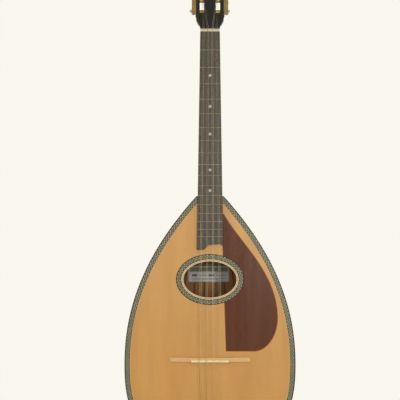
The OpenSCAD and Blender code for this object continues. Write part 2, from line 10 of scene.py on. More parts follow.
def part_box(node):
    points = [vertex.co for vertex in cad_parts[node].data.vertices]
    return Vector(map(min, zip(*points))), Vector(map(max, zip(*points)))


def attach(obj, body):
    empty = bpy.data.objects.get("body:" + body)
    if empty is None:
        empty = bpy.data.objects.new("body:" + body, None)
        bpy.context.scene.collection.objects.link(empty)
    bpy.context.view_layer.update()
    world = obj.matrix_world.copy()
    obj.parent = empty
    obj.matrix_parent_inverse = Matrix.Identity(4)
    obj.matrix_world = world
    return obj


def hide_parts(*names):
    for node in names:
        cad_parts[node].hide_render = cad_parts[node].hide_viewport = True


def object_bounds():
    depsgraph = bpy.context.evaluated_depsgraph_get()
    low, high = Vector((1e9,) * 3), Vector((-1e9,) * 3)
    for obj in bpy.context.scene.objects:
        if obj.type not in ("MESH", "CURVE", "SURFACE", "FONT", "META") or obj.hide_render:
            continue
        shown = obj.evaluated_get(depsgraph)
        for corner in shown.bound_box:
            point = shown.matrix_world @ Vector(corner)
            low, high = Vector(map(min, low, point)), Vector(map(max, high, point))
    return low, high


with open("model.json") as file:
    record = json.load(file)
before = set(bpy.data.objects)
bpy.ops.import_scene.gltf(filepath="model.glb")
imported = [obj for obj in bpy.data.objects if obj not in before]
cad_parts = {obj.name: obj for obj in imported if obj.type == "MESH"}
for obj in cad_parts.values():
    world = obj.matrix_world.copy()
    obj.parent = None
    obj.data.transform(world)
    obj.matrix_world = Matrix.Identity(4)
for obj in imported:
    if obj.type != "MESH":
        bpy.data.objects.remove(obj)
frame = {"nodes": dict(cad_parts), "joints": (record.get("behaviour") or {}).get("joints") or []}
cad_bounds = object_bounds()
scene = bpy.context.scene
BODY = "body_and_neck"
MM = 0.001


# ---- Places, taken from the frame ----

def low(node):
    return Vector(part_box(node)[0])


def high(node):
    return Vector(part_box(node)[1])


def middle(node):
    return (low(node) + high(node)) / 2


def joint(name):
    return next(j for j in frame["joints"] if j["name"] == name)


HALF_W = high("edge_binding").x
TAIL_Z = low("edge_binding").z
BOARD_T = high("soundboard").y
HEAD_AXIS = Vector(joint("knob_1_turn")["axis"])          # points back, square to the head
HEAD_TILT = math.atan2(-HEAD_AXIS.z, HEAD_AXIS.y)

# The front's outline: a power curve above the widest place and a squarish oval below it
LOWER_RUN = 0.185
UPPER_RUN = 0.364
UPPER_POWER = 2.13
LOWER_POWER = 2.4
WIDEST_Z = TAIL_Z + LOWER_RUN
BODY_TOP_Z = high("edge_binding").z


def rim(u):
    """Right-hand rim point (x, z) for u from 0 at the neck to 1 at the tail, and the outward direction."""
    if u < 0.5:
        z = BODY_TOP_Z + (WIDEST_Z - BODY_TOP_Z) * 2 * u
        t = (z - WIDEST_Z) / UPPER_RUN
        slope = HALF_W * UPPER_POWER / UPPER_RUN * t ** (UPPER_POWER - 1)
        return Vector((HALF_W * (1 - t ** UPPER_POWER), z)), Vector((1, slope)).normalized()
    a = math.pi / 2 * (2 * u - 1)
    c, s = max(math.cos(a), 0.0), math.sin(a)
    k = 2 / LOWER_POWER
    out = Vector((c ** (2 - k) / HALF_W, -s ** (2 - k) / LOWER_RUN)).normalized()
    return Vector((HALF_W * c ** k, WIDEST_Z - LOWER_RUN * s ** k)), out


def inset(u, t):
    p, out = rim(u)
    return p - out * t


# ---- Small mesh and node helpers ----

def link(name, mesh):
    obj = bpy.data.objects.new(name, mesh)
    scene.collection.objects.link(obj)
    return obj


def from_bmesh(name, bm, smooth=True):
    mesh = bpy.data.meshes.new(name)
    bm.normal_update()
    bm.to_mesh(mesh)
    bm.free()
    for p in mesh.polygons:
        p.use_smooth = smooth
    return link(name, mesh)


def grid_faces(bm, rows, close_rows=False, close_cols=False):
    """Quads between rows of vertices."""
    count = len(rows)
    for i in range(count if close_rows else count - 1):
        a, b = rows[i], rows[(i + 1) % count]
        n = len(a)
        for k in range(n if close_cols else n - 1):
            bm.faces.new((a[k], a[(k + 1) % n], b[(k + 1) % n], b[k]))


def place(obj, material, body=BODY, stands_for=()):
    obj.data.materials.clear()
    obj.data.materials.append(material)
    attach(obj, body)
    if stands_for:
        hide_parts(*stands_for)
    return obj


def copy_of(node, name=None):
    """A welded copy of a CAD node's mesh with its flat faces joined up."""
    source = frame["nodes"][node]
    bm = bmesh.new()
    bm.from_mesh(source.data)
    bmesh.ops.remove_doubles(bm, verts=bm.verts, dist=2e-6)
    bmesh.ops.dissolve_limit(bm, angle_limit=math.radians(0.6), verts=bm.verts, edges=bm.edges)
    return from_bmesh(name or node + "_finished", bm, smooth=False)


def soften(obj, width, segments=2, angle=28):
    """Rounds the sharp edges of a piece."""
    mod = obj.modifiers.new("edges", "BEVEL")
    mod.width = width
    mod.segments = segments
    mod.limit_method = "ANGLE"
    mod.angle_limit = math.radians(angle)
    mod.use_clamp_overlap = True
    mod.harden_normals = False
    for p in obj.data.polygons:
        p.use_smooth = True
    obj.data.set_sharp_from_angle(angle=math.radians(angle))
    return obj


def thicken(obj, thickness, offset):
    """Makes a sheet a thin solid."""
    mod = obj.modifiers.new("thickness", "SOLIDIFY")
    mod.thickness = thickness
    mod.offset = offset


def finish_node(node, material, width=0.0003, segments=2, angle=28, body=BODY):
    """A CAD node with its edges rounded."""
    return place(soften(copy_of(node), width, segments, angle), material, body, (node,))


class Nodes:
    """Short ways to build a node material."""

    def __init__(self, name):
        self.mat = bpy.data.materials.new(name)
        self.mat.use_nodes = True
        self.tree = self.mat.node_tree
        self.tree.nodes.clear()
        self.out = self.add("ShaderNodeOutputMaterial")
        self.shader = self.add("ShaderNodeBsdfPrincipled")
        self.tree.links.new(self.shader.outputs[0], self.out.inputs[0])
        self.coords = self.add("ShaderNodeTexCoord").outputs["Object"]

    def add(self, kind):
        return self.tree.nodes.new(kind)

    def wire(self, value, socket):
        if isinstance(value, bpy.types.NodeSocket):
            self.tree.links.new(value, socket)
        elif value is not None:
            socket.default_value = value

    def set(self, name, value):
        self.wire(value, self.shader.inputs[name])

    def mapped(self, scale=(1, 1, 1), move=(0, 0, 0), source=None):
        node = self.add("ShaderNodeMapping")
        node.inputs["Scale"].default_value = scale
        node.inputs["Location"].default_value = move
        self.wire(source or self.coords, node.inputs["Vector"])
        return node.outputs[0]

    def noise(self, vector, scale, detail=3.0, rough=0.55, distortion=0.0):
        node = self.add("ShaderNodeTexNoise")
        self.wire(vector, node.inputs["Vector"])
        node.inputs["Scale"].default_value = scale
        node.inputs["Detail"].default_value = detail
        node.inputs["Roughness"].default_value = rough
        node.inputs["Distortion"].default_value = distortion
        return node.outputs["Fac"]

    def bands(self, vector, scale, distortion, detail=2.0, direction="X", detail_scale=1.0):
        node = self.add("ShaderNodeTexWave")
        node.bands_direction = direction
        self.wire(vector, node.inputs["Vector"])
        node.inputs["Scale"].default_value = scale
        node.inputs["Distortion"].default_value = distortion
        node.inputs["Detail"].default_value = detail
        node.inputs["Detail Scale"].default_value = detail_scale
        return node.outputs["Fac"]

    def ramp(self, fac, stops):
        node = self.add("ShaderNodeValToRGB")
        self.wire(fac, node.inputs[0])
        elements = node.color_ramp.elements
        while len(elements) < len(stops):
            elements.new(0.5)
        for element, (at, colour) in zip(elements, stops):
            element.position = at
            element.color = (*colour, 1) if len(colour) == 3 else colour
        return node.outputs[0]

    def mix(self, fac, a, b, blend="MIX"):
        node = self.add("ShaderNodeMix")
        node.data_type = "RGBA"
        node.blend_type = blend
        self.wire(fac, node.inputs[0])
        self.wire(a if not isinstance(a, tuple) else (*a, 1), node.inputs[6])
        self.wire(b if not isinstance(b, tuple) else (*b, 1), node.inputs[7])
        return node.outputs[2]

    def math(self, kind, a, b=0.5, c=None):
        node = self.add("ShaderNodeMath")
        node.operation = kind
        self.wire(a, node.inputs[0])
        self.wire(b, node.inputs[1])
        if c is not None:
            self.wire(c, node.inputs[2])
        return node.outputs[0]

    def span(self, value, lo, hi):
        """value from 0..1 stretched to lo..hi."""
        return self.math("MULTIPLY_ADD", value, hi - lo, lo)

    def axis(self, name):
        node = self.add("ShaderNodeSeparateXYZ")
        self.wire(self.coords, node.inputs[0])
        return node.outputs[name]

    def attribute(self, name):
        node = self.add("ShaderNodeAttribute")
        node.attribute_name = name
        return node

    def bump(self, height, strength, distance):
        node = self.add("ShaderNodeBump")
        node.inputs["Strength"].default_value = strength
        node.inputs["Distance"].default_value = distance
        self.wire(height, node.inputs["Height"])
        old = self.shader.inputs["Normal"]
        if old.is_linked:
            self.wire(old.links[0].from_socket, node.inputs["Normal"])
        self.wire(node.outputs[0], old)


def srgb(r, g, b):
    """A colour given as 0..255 screen values, made linear."""
    def one(v):
        v /= 255
        return v / 12.92 if v <= 0.04045 else ((v + 0.055) / 1.055) ** 2.4
    return (one(r), one(g), one(b))


# ---- Materials ----

GRAIN = {"X": (0.06, 1, 1), "Y": (1, 0.06, 1), "Z": (1, 1, 0.06)}


def wood(name, light, dark, along="Z", lines=900.0, contrast=0.5, rough=0.35, coat=0.0, pores=0.25,
         figure=9.0, pore_scale=700.0):
    """Straight-grained wood, its grain along one axis, with year lines, pores and slow colour drift."""
    m = Nodes(name)
    stretched = m.mapped(GRAIN[along])
    drift = m.noise(m.mapped(tuple(v * 0.7 for v in GRAIN[along])), 26, 3, 0.5)
    grain = m.noise(stretched, lines, 4, 0.62, 0.15)
    year = m.noise(stretched, lines * 0.22, 2, 0.5)
    tone = m.mix(m.math("MULTIPLY", year, contrast), light, dark)
    tone = m.mix(m.math("MULTIPLY", grain, contrast * 0.6), tone, dark)
    tone = m.mix(m.ramp(drift, [(0.3, (0, 0, 0)), (0.75, (0.4, 0.4, 0.4))]), tone,
                 tuple(v * 0.72 for v in light), "MIX")
    speck = m.noise(m.mapped(tuple(v if v == 1 else 0.03 for v in GRAIN[along])), pore_scale, 2, 0.5)
    holes = m.ramp(speck, [(0.56, (0, 0, 0)), (0.68, (1, 1, 1))])
    tone = m.mix(m.math("MULTIPLY", holes, pores), tone, tuple(v * 0.35 for v in dark))
    m.set("Base Color", tone)
    m.set("Roughness", m.span(m.noise(stretched, lines * 0.1, 3), rough - 0.06, rough + 0.1))
    m.set("Coat Weight", coat)
    m.set("Coat Roughness", 0.12)
    m.bump(holes, 0.12 + 0.2 * pores, -0.00012)
    m.bump(m.noise(m.coords, figure, 3), 0.05, 0.0006)
    return m.mat


def ribbed(name, light, dark, rough, coat, seam):
    """Figured wood of the bowl: each rib has its own tone and stripe, and joints show as dark lines."""
    m = Nodes(name)
    rib = m.attribute("rib").outputs["Fac"]
    shifted = m.add("ShaderNodeVectorMath")
    shifted.operation = "MULTIPLY_ADD"
    m.wire(m.coords, shifted.inputs[0])
    shifted.inputs[1].default_value = (1, 1, 0.05)
    offset = m.add("ShaderNodeCombineXYZ")
    m.wire(rib, offset.inputs[0])
    m.wire(rib, offset.inputs[2])
    m.wire(offset.outputs[0], shifted.inputs[2])
    grain = m.noise(shifted.outputs[0], 640, 4, 0.62, 0.2)
    ribbon = m.noise(shifted.outputs[0], 90, 2, 0.5)
    figure = m.noise(m.mapped((1, 1, 1.8)), 60, 3, 0.6, 0.6)
    tone = m.mix(m.span(grain, 0.1, 0.8), light, dark)
    tone = m.mix(m.math("MULTIPLY", ribbon, 0.45), tone, tuple(v * 1.25 for v in light))
    tone = m.mix(m.math("MULTIPLY", figure, 0.25), tone, dark)
    tone = m.mix(m.math("MULTIPLY", rib, 0.4), tone, tuple(v * 0.75 for v in dark))
    tone = m.mix(m.math("GREATER_THAN", rib, 0.98), tone, seam)
    m.set("Base Color", tone)
    m.set("Roughness", m.span(figure, rough - 0.04, rough + 0.12))
    m.set("Coat Weight", coat)
    m.set("Coat Roughness", 0.1)
    m.bump(grain, 0.06, 0.0001)
    m.bump(m.noise(m.coords, 9, 3), 0.05, 0.0006)
    return m.mat


def spruce():
    """Amber lacquered spruce: close year lines mirrored at the centre joint, with silk across the grain."""
    m = Nodes("spruce_front")
    x = m.math("ABSOLUTE", m.axis("X"), 0)
    node = m.add("ShaderNodeCombineXYZ")
    m.wire(x, node.inputs[0])
    m.wire(m.axis("Y"), node.inputs[1])
    m.wire(m.axis("Z"), node.inputs[2])
    halves = node.outputs[0]
    wander = m.mapped((1, 1, 0.035), source=halves)
    year = m.bands(m.mapped((1, 0, 0.02), source=halves), 205, 3.2, 2, "X", 2.5)
    fine = m.noise(wander, 1500, 3, 0.6)
    wide = m.noise(m.mapped((1, 1, 0.12), source=halves), 22, 3, 0.55)
    blotch = m.noise(m.coords, 7, 4, 0.6)
    lines = m.ramp(year, [(0.45, (0, 0, 0)), (0.9, (1, 1, 1))])
    base = m.mix(m.ramp(wide, [(0.3, (0, 0, 0)), (0.7, (1, 1, 1))]), srgb(224, 170, 86), srgb(208, 152, 72))
    base = m.mix(m.math("MULTIPLY", lines, 0.36), base, srgb(160, 104, 48))
    base = m.mix(m.math("MULTIPLY", fine, 0.16), base, srgb(176, 120, 60))
    base = m.mix(m.ramp(blotch, [(0.38, (0, 0, 0)), (0.72, (0.45, 0.45, 0.45))]), base, srgb(190, 138, 66))
    silk = m.noise(m.mapped((0.35, 1, 4)), 160, 2, 0.5)
    base = m.mix(m.ramp(silk, [(0.55, (0, 0, 0)), (0.8, (0.22, 0.22, 0.22))]), base, srgb(228, 180, 110))
    m.set("Base Color", base)
    m.set("Roughness", m.span(m.noise(m.coords, 40, 3), 0.3, 0.42))
    m.set("Coat Weight", 0.35)
    m.set("Coat Roughness", 0.16)
    m.bump(lines, 0.10, -0.00008)
    m.bump(blotch, 0.06, 0.0008)
    return m.mat


def metal(name, colour, dark, rough=0.28, wear=0.4, scratch=0.3):
    """Plated or bare metal with tarnish in patches and fine scratches."""
    m = Nodes(name)
    patch = m.noise(m.coords, 130, 5, 0.65)
    fine = m.noise(m.mapped((1, 1, 0.08)), 3000, 2, 0.5)
    stain = m.ramp(patch, [(0.42, (0, 0, 0)), (0.72, (1, 1, 1))])
    m.set("Base Color", m.mix(m.math("MULTIPLY", stain, wear), colour, dark))
    m.set("Metallic", 1.0)
    m.set("Roughness", m.math("MULTIPLY_ADD", stain, 0.22, m.span(fine, rough - 0.05, rough + 0.08)))
    m.bump(fine, scratch, 0.00002)
    m.bump(patch, 0.08, 0.0001)
    return m.mat


def bone(name, colour, dark, rough=0.3, scatter=0.15):
    """Bone or cream plastic with faint streaks."""
    m = Nodes(name)
    streak = m.noise(m.mapped((0.12, 1, 1)), 900, 3, 0.6)
    cloud = m.noise(m.coords, 90, 3)
    tone = m.mix(m.math("MULTIPLY", streak, 0.35), colour, dark)
    m.set("Base Color", m.mix(m.math("MULTIPLY", cloud, 0.15), tone, tuple(v * 0.9 for v in dark)))
    m.set("Roughness", m.span(cloud, rough - 0.05, rough + 0.12))
    m.set("Subsurface Weight", scatter)
    m.set("Subsurface Radius", (0.002, 0.0015, 0.001))
    m.set("Subsurface Scale", 0.5)
    m.bump(streak, 0.06, 0.00004)
    return m.mat


def pearl(name, base, tints, rough=0.16, scale=260):
    """Pearl shell: swirling layers of pale tints under a polish."""
    m = Nodes(name)
    swirl = m.noise(m.coords, scale, 4, 0.6, 1.8)
    layer = m.noise(m.mapped((1, 1, 1), (3, 1, 2)), scale * 2.3, 3, 0.5, 2.5)
    tone = m.ramp(swirl, [(0.25, tints[0]), (0.5, base), (0.75, tints[1])])
    m.set("Base Color", m.mix(m.math("MULTIPLY", layer, 0.5), tone, tints[2]))
    m.set("Roughness", m.span(layer, rough, rough + 0.14))
    m.set("Coat Weight", 0.5)
    m.set("Coat Roughness", 0.08)
    m.bump(swirl, 0.08, 0.0001)
    return m.mat


def mosaic():
    """Small pearl and dark tiles: each tile carries its own tone in the tile attribute."""
    m = Nodes("mosaic_tiles")
    tile = m.attribute("tile")
    swirl = m.noise(m.coords, 520, 4, 0.6, 1.6)
    shell = m.ramp(swirl, [(0.25, srgb(118, 134, 112)), (0.5, srgb(156, 152, 120)),
                           (0.78, srgb(182, 168, 134))])
    tint = m.ramp(tile.outputs["Fac"], [(0.5, srgb(104, 140, 132)), (0.75, srgb(148, 150, 118)),
                                        (1.0, srgb(204, 172, 122))])
    shell = m.mix(0.5, shell, tint)
    dark = m.mix(m.noise(m.coords, 900, 3), srgb(78, 74, 48), srgb(104, 98, 68))
    tone = m.mix(m.math("GREATER_THAN", tile.outputs["Fac"], 0.4), dark, shell)
    m.set("Base Color", tone)
    m.set("Roughness", m.span(swirl, 0.16, 0.36))
    m.set("Coat Weight", 0.45)
    m.set("Coat Roughness", 0.1)
    m.bump(swirl, 0.05, 0.00006)
    return m.mat


def lacquer_black():
    """Black-stained wood under thick lacquer; a faint olive cast is painted into the colour in cloudy
    patches as painted sheen.
    """
    m = Nodes("black_lacquer")
    grain = m.noise(m.mapped((1, 1, 0.05)), 700, 4, 0.6)
    cloud = m.noise(m.coords, 30, 4, 0.6)
    tone = m.mix(grain, srgb(12, 12, 7), srgb(34, 33, 22))
    # painted sheen: cloudy patches of the black are mixed toward olive to stand in for the lacquer's sheen
    m.set("Base Color", m.mix(m.math("MULTIPLY", cloud, 0.4), tone, srgb(46, 45, 28)))
    m.set("Roughness", m.span(cloud, 0.18, 0.3))
    m.set("Coat Weight", 0.3)
    m.set("Coat Roughness", 0.08)
    m.bump(grain, 0.1, 0.00006)
    m.bump(cloud, 0.06, 0.0004)
    return m.mat


def plastic_black():
    m = Nodes("strap_button_black")
    cloud = m.noise(m.coords, 260, 4, 0.6)
    m.set("Base Color", m.mix(cloud, srgb(16, 15, 14), srgb(38, 36, 33)))
    m.set("Roughness", m.span(cloud, 0.22, 0.45))
    m.bump(m.noise(m.coords, 900, 2), 0.12, 0.00003)
    return m.mat


def label_paper():
    """Aged paper label: a printed frame, a dark upper field and plain rules in place of print."""
    m = Nodes("label_paper")
    u = m.attribute("across").outputs["Fac"]
    v = m.attribute("up").outputs["Fac"]
    fibre = m.noise(m.coords, 600, 4, 0.7)
    age = m.noise(m.coords, 45, 4, 0.6)
    tone = m.mix(m.math("MULTIPLY", age, 0.6), srgb(255, 255, 250), srgb(228, 226, 212))

    def band(value, lo, hi):
        return m.math("MULTIPLY", m.math("GREATER_THAN", value, lo), m.math("LESS_THAN", value, hi))

    def block(u0, u1, v0, v1):
        return m.math("MULTIPLY", band(u, u0, u1), band(v, v0, v1))

    tone = m.mix(block(0.04, 0.96, 0.66, 0.92), tone, srgb(158, 166, 138))
    for u0, u1, v0, v1, colour in (
            (0.10, 0.22, 0.36, 0.50, (52, 54, 52)), (0.50, 0.64, 0.36, 0.48, (66, 68, 66)),
            (0.26, 0.46, 0.41, 0.45, (112, 116, 116)), (0.68, 0.90, 0.41, 0.45, (112, 116, 116)),
            (0.10, 0.90, 0.22, 0.25, (128, 132, 130)), (0.10, 0.74, 0.14, 0.17, (128, 132, 130))):
        ink = m.math("MULTIPLY", block(u0, u1, v0, v1), m.span(fibre, 0.55, 1.0))
        tone = m.mix(ink, tone, srgb(*colour))
    edge = m.math("SUBTRACT", 1.0, block(0.022, 0.978, 0.05, 0.95))
    tone = m.mix(m.math("MULTIPLY", edge, 0.7), tone, srgb(196, 190, 170))
    m.set("Base Color", tone)
    m.set("Roughness", 0.82)
    m.bump(fibre, 0.25, 0.00008)
    return m.mat


def wound_wire():
    """Bronze-wound string: the winding shows as close rings along it."""
    m = Nodes("wound_bronze")
    rings = m.bands(m.coords, 620, 0.0, 0, "Z")
    patch = m.noise(m.coords, 160, 4)
    m.set("Base Color", m.mix(patch, srgb(196, 182, 140), srgb(150, 136, 98)))
    m.set("Metallic", 1.0)
    m.set("Roughness", m.span(patch, 0.26, 0.42))
    m.bump(rings, 0.5, 0.00006)
    return m.mat


M = {
    "spruce": spruce(),
    "bowl": ribbed("bowl_mahogany", srgb(128, 66, 36), srgb(66, 29, 16), 0.28, 0.5, srgb(40, 18, 10)),
    "bowl_inner": ribbed("bowl_inside", srgb(194, 142, 90), srgb(166, 114, 68), 0.6, 0.0,
                         srgb(122, 82, 50)),
    "fillet": wood("fillet_maple", srgb(214, 178, 120), srgb(172, 132, 80), lines=800, contrast=0.35,
                   coat=0.4),
    "ring": wood("ring_maple", srgb(240, 214, 164), srgb(208, 172, 116), lines=1200, contrast=0.3,
                 coat=0.3),
    "dark": wood("dark_line", srgb(46, 36, 26), srgb(26, 20, 14), lines=1100, contrast=0.5, rough=0.2,
                 coat=0.1),
    "guard": wood("pickguard_rosewood", srgb(116, 60, 22), srgb(64, 29, 9), lines=430, contrast=0.75,
                  rough=0.18, coat=0.1, pores=0.4),
    "guard_line": wood("pickguard_line", srgb(158, 84, 40), srgb(116, 56, 26), lines=900, contrast=0.4,
                       coat=0.2),
    "neck": wood("neck_mahogany", srgb(112, 60, 36), srgb(66, 32, 18), lines=560, contrast=0.7, rough=0.3,
                 coat=0.4, pores=0.45),
    "finger": wood("fingerboard_rosewood", srgb(86, 74, 53), srgb(46, 37, 25), lines=650, contrast=0.75,
                   rough=0.26, pores=0.6),
    "block": wood("block_lime", srgb(196, 158, 110), srgb(160, 118, 74), lines=500, contrast=0.4,
                  rough=0.65),
    "brace": wood("brace_spruce", srgb(214, 180, 126), srgb(184, 140, 84), along="X", lines=700,
                  contrast=0.5, rough=0.6),
    "bridge": wood("bridge_maple", srgb(232, 190, 126), srgb(202, 154, 94), along="X", lines=900,
                   contrast=0.4, rough=0.45),
    "mosaic": mosaic(),
    "black": lacquer_black(),
    "strap": plastic_black(),
    "bone": bone("saddle_bone", srgb(255, 238, 196), srgb(244, 216, 166)),
    "nut_bone": bone("nut_bone", srgb(224, 214, 184), srgb(192, 178, 142)),
    "button": pearl("button_pearl", srgb(232, 218, 184),
                    (srgb(212, 190, 146), srgb(246, 238, 214), srgb(226, 206, 160))),
    "pearl": pearl("pearl_dots", srgb(196, 192, 176),
                   (srgb(166, 178, 166), srgb(220, 214, 200), srgb(192, 182, 174))),
    "gilt": metal("gilt_brass", srgb(206, 178, 110), srgb(124, 96, 54)),
    "gear": metal("gear_brass", srgb(198, 164, 92), srgb(112, 84, 44), 0.32),
    "nickel": metal("tail_nickel", srgb(206, 204, 196), srgb(150, 146, 136), 0.22, 0.3),
    "fret": metal("fret_nickel", srgb(168, 158, 132), srgb(112, 102, 80), 0.4, 0.6),
    "steel": metal("plain_steel", srgb(226, 220, 192), srgb(176, 168, 140), 0.36, 0.4, 0.1),
    "worm": metal("worm_steel", srgb(196, 184, 150), srgb(128, 108, 72), 0.26, 0.35),
    "bronze": wound_wire(),
    "label": label_paper(),
}


# ---- Camera, light and floor ----

def set_stage():
    """Camera square to the front, a pale floor, and soft light from both sides, above and behind."""
    view_w = 0.795
    distance = 2.4
    aim_x, aim_z = -0.0199, -0.334
    cam = bpy.data.cameras.new("camera")
    cam.sensor_width = 36
    cam.lens = 36 * distance / view_w
    cam.clip_end = 50
    obj = bpy.data.objects.new("camera", cam)
    scene.collection.objects.link(obj)
    obj.location = (aim_x, -distance, aim_z)
    obj.rotation_euler = (math.pi / 2, 0, 0)
    scene.camera = obj

    floor_z = cad_bounds[0][2] - 0.004
    bm = bmesh.new()
    bmesh.ops.create_circle(bm, cap_ends=True, radius=0.8, segments=128,
                            matrix=Matrix.Translation((0, 0, floor_z)))
    floor = from_bmesh("floor", bm, smooth=False)
    m = Nodes("floor_pale")
    m.set("Base Color", m.mix(m.noise(m.coords, 3, 3), srgb(236, 232, 222), srgb(228, 224, 214)))
    m.set("Roughness", 0.85)
    floor.data.materials.append(m.mat)

    world = bpy.data.worlds.new("pale_room")
    scene.world = world
    world.use_nodes = True
    tree = world.node_tree
    seen = tree.nodes["Background"]
    seen.inputs[0].default_value = (*srgb(249, 247, 238), 1)
    glow = tree.nodes.new("ShaderNodeBackground")
    glow.inputs[0].default_value = (*srgb(250, 247, 240), 1)
    glow.inputs[1].default_value = 0.34
    path, mix = tree.nodes.new("ShaderNodeLightPath"), tree.nodes.new("ShaderNodeMixShader")
    tree.links.new(path.outputs["Is Camera Ray"], mix.inputs[0])
    tree.links.new(glow.outputs[0], mix.inputs[1])
    tree.links.new(seen.outputs[0], mix.inputs[2])
    tree.links.new(mix.outputs[0], tree.nodes["World Output"].inputs[0])
    scene.view_settings.view_transform = "Standard"

    def area(name, place_at, size, power, tall=1.0, colour=(1, 0.98, 0.94)):
        data = bpy.data.lights.new(name, "AREA")
        data.shape = "RECTANGLE"
        data.size = size
        data.size_y = size * tall
        data.energy = power
        data.color = colour
        light = bpy.data.objects.new(name, data)
        scene.collection.objects.link(light)
        light.location = place_at
        aim = Vector((0, 0, -0.4)) - Vector(place_at)
        light.rotation_euler = aim.to_track_quat("-Z", "Y").to_euler()

    area("key", (1.9, -1.7, 1.2), 1.0, 9)
    area("front_right", (0.62, -2.2, -0.2), 0.3, 16, 2.8)
    area("front_left", (-0.62, -2.2, -0.2), 0.3, 9, 2.8)
    area("fill", (-2.2, -1.6, 0.4), 1.6, 6)
    area("back", (0.6, 2.4, 1.4), 1.6, 26)


set_stage()


# ---- Front ----

def along_rim(steps, t):
    """Points (x, z) all round the rim at inset t, from the neck's treble side to its bass side."""
    right = [inset(i / steps, t) for i in range(steps + 1)]
    return right + [Vector((-p.x, p.y)) for p in reversed(right[:-1])]


def even(points, spacing, closed=False):
    """Points at equal distances along a polyline."""
    pts = list(points) + ([points[0]] if closed else [])
    lengths = [0.0]
    for a, b in zip(pts, pts[1:]):
        lengths.append(lengths[-1] + (b - a).length)
    count = max(2, round(lengths[-1] / spacing))
    out, k = [], 0
    for i in range(count + (0 if closed else 1)):
        want = lengths[-1] * i / count
        while k < len(pts) - 2 and lengths[k + 1] < want:
            k += 1
        step = lengths[k + 1] - lengths[k]
        out.append(pts[k].lerp(pts[k + 1], (want - lengths[k]) / step if step else 0))
    return out


def normals_2d(points, closed):
    """Unit left-hand normals of a polyline in the plane."""
    n = len(points)
    out = []
    for i in range(n):
        a = points[(i - 1) % n] if closed or i else points[0]
        b = points[(i + 1) % n] if closed or i < n - 1 else points[-1]
        d = (b - a).normalized()
        out.append(Vector((-d.y, d.x)))
    return out


def ribbon(name, points, normals, lo, hi, front, back, closed=False):
    """A flat strip that follows points, from lo to hi along the normals, between two depths."""
    bm = bmesh.new()
    rows = []
    for p, n in zip(points, normals):
        a, b = p + n * lo, p + n * hi
        corners = ((a, back), (a, front), (b, front), (b, back))
        rows.append([bm.verts.new((q.x, y, q.y)) for q, y in corners])
    grid_faces(bm, rows, close_rows=closed, close_cols=True)
    if not closed:
        bm.faces.new(reversed(rows[0]))
        bm.faces.new(rows[-1])
    bmesh.ops.recalc_face_normals(bm, faces=bm.faces)
    obj = from_bmesh(name, bm)
    obj.data.set_sharp_from_angle(angle=math.radians(30))
    return obj


def tiles(name, points, normals, lo, hi, front, back, rows, seed, closed=False, gap=0.00012):
    """Rows of small bevelled tiles along a strip, pearl and dark by turns, each with its own tone."""
    rng = random.Random(seed)
    bm = bmesh.new()
    tone = bm.faces.layers.float.new("tile")
    n = len(points)
    width = (hi - lo) / rows
    chamfer = 0.00016
    for i in range(n if closed else n - 1):
        j = (i + 1) % n
        for r in range(rows):
            t0, t1 = lo + r * width, lo + (r + 1) * width
            corner = [points[i] + normals[i] * t0, points[j] + normals[j] * t0,
                      points[j] + normals[j] * t1, points[i] + normals[i] * t1]
            mid = sum(corner, Vector((0, 0))) / 4
            pearl_tile = (i + r) % 2 == 0
            value = rng.uniform(0.5, 1.0) if pearl_tile else 0.0
            lift = rng.uniform(0, 0.00003)

            def ring(shrink, y):
                return [bm.verts.new((q.x, y, q.y)) for q in
                        (mid + (c - mid) * (1 - shrink / max((c - mid).length, 1e-6)) for c in corner)]

            base, wall = ring(gap, back), ring(gap, front + chamfer)
            top = ring(gap + chamfer * 1.4, front - lift)
            faces = [bm.faces.new(top)]
            for lower, upper in ((base, wall), (wall, top)):
                for k in range(4):
                    faces.append(bm.faces.new((lower[k], lower[(k + 1) % 4], upper[(k + 1) % 4], upper[k])))
            for f in faces:
                f[tone] = value
    bmesh.ops.recalc_face_normals(bm, faces=bm.faces)
    return from_bmesh(name, bm, smooth=False)


INLAY_BACK = high("edge_mosaic").y
BINDING = 0.0016
MOSAIC_W = 0.008
PURFLING = 0.0016
UNDER_BOARD = 0.0205                                      # inlays stop here, under the fingerboard
TILE_LONG = 0.0034
TILE_ROWS = 3


def bare_rim(steps, t):
    """The rim at inset t without the stretch under the fingerboard."""
    return [p for p in along_rim(steps, t) if abs(p.x) > UNDER_BOARD or p.y < WIDEST_Z]


def rim_piece(name, lo, hi, material, stands_for=(), back=INLAY_BACK, front=-0.00003):
    keep = bare_rim(200, (lo + hi) / 2)
    half = (hi - lo) / 2
    obj = ribbon(name, keep, normals_2d(keep, False), -half, half, front, back)
    return place(obj, material, stands_for=stands_for)


def front_edge():
    """Binding, mosaic with a dark line on both sides, and the purfling."""
    line = 0.0009
    rim_piece("binding_strip", 0, BINDING, M["dark"], ("edge_binding",), BOARD_T)
    lo, hi = BINDING + 0.0002, BINDING + MOSAIC_W
    pts = even(bare_rim(300, (lo + hi) / 2), TILE_LONG)
    half = (hi - lo) / 2
    obj = tiles("edge_tiles", pts, normals_2d(pts, False), -half, half, -0.00005, INLAY_BACK, TILE_ROWS, 11)
    place(obj, M["mosaic"], stands_for=("edge_mosaic",))
    rim_piece("edge_tile_bed", lo, hi, M["dark"], front=0.00012)
    rim_piece("purfling_dark", hi, hi + line, M["dark"], ("edge_purfling",))
    rim_piece("purfling_pale", hi + line, hi + PURFLING, M["ring"])


HOLE_AT = Vector((middle("rosette_ring").x, middle("rosette_ring").z))
HOLE_RX = 0.053
HOLE_RZ = 0.036


def oval(grow, steps=240):
    return [HOLE_AT + Vector(((HOLE_RX + grow) * math.cos(a), (HOLE_RZ + grow) * math.sin(a)))
            for a in (2 * math.pi * i / steps for i in range(steps))]


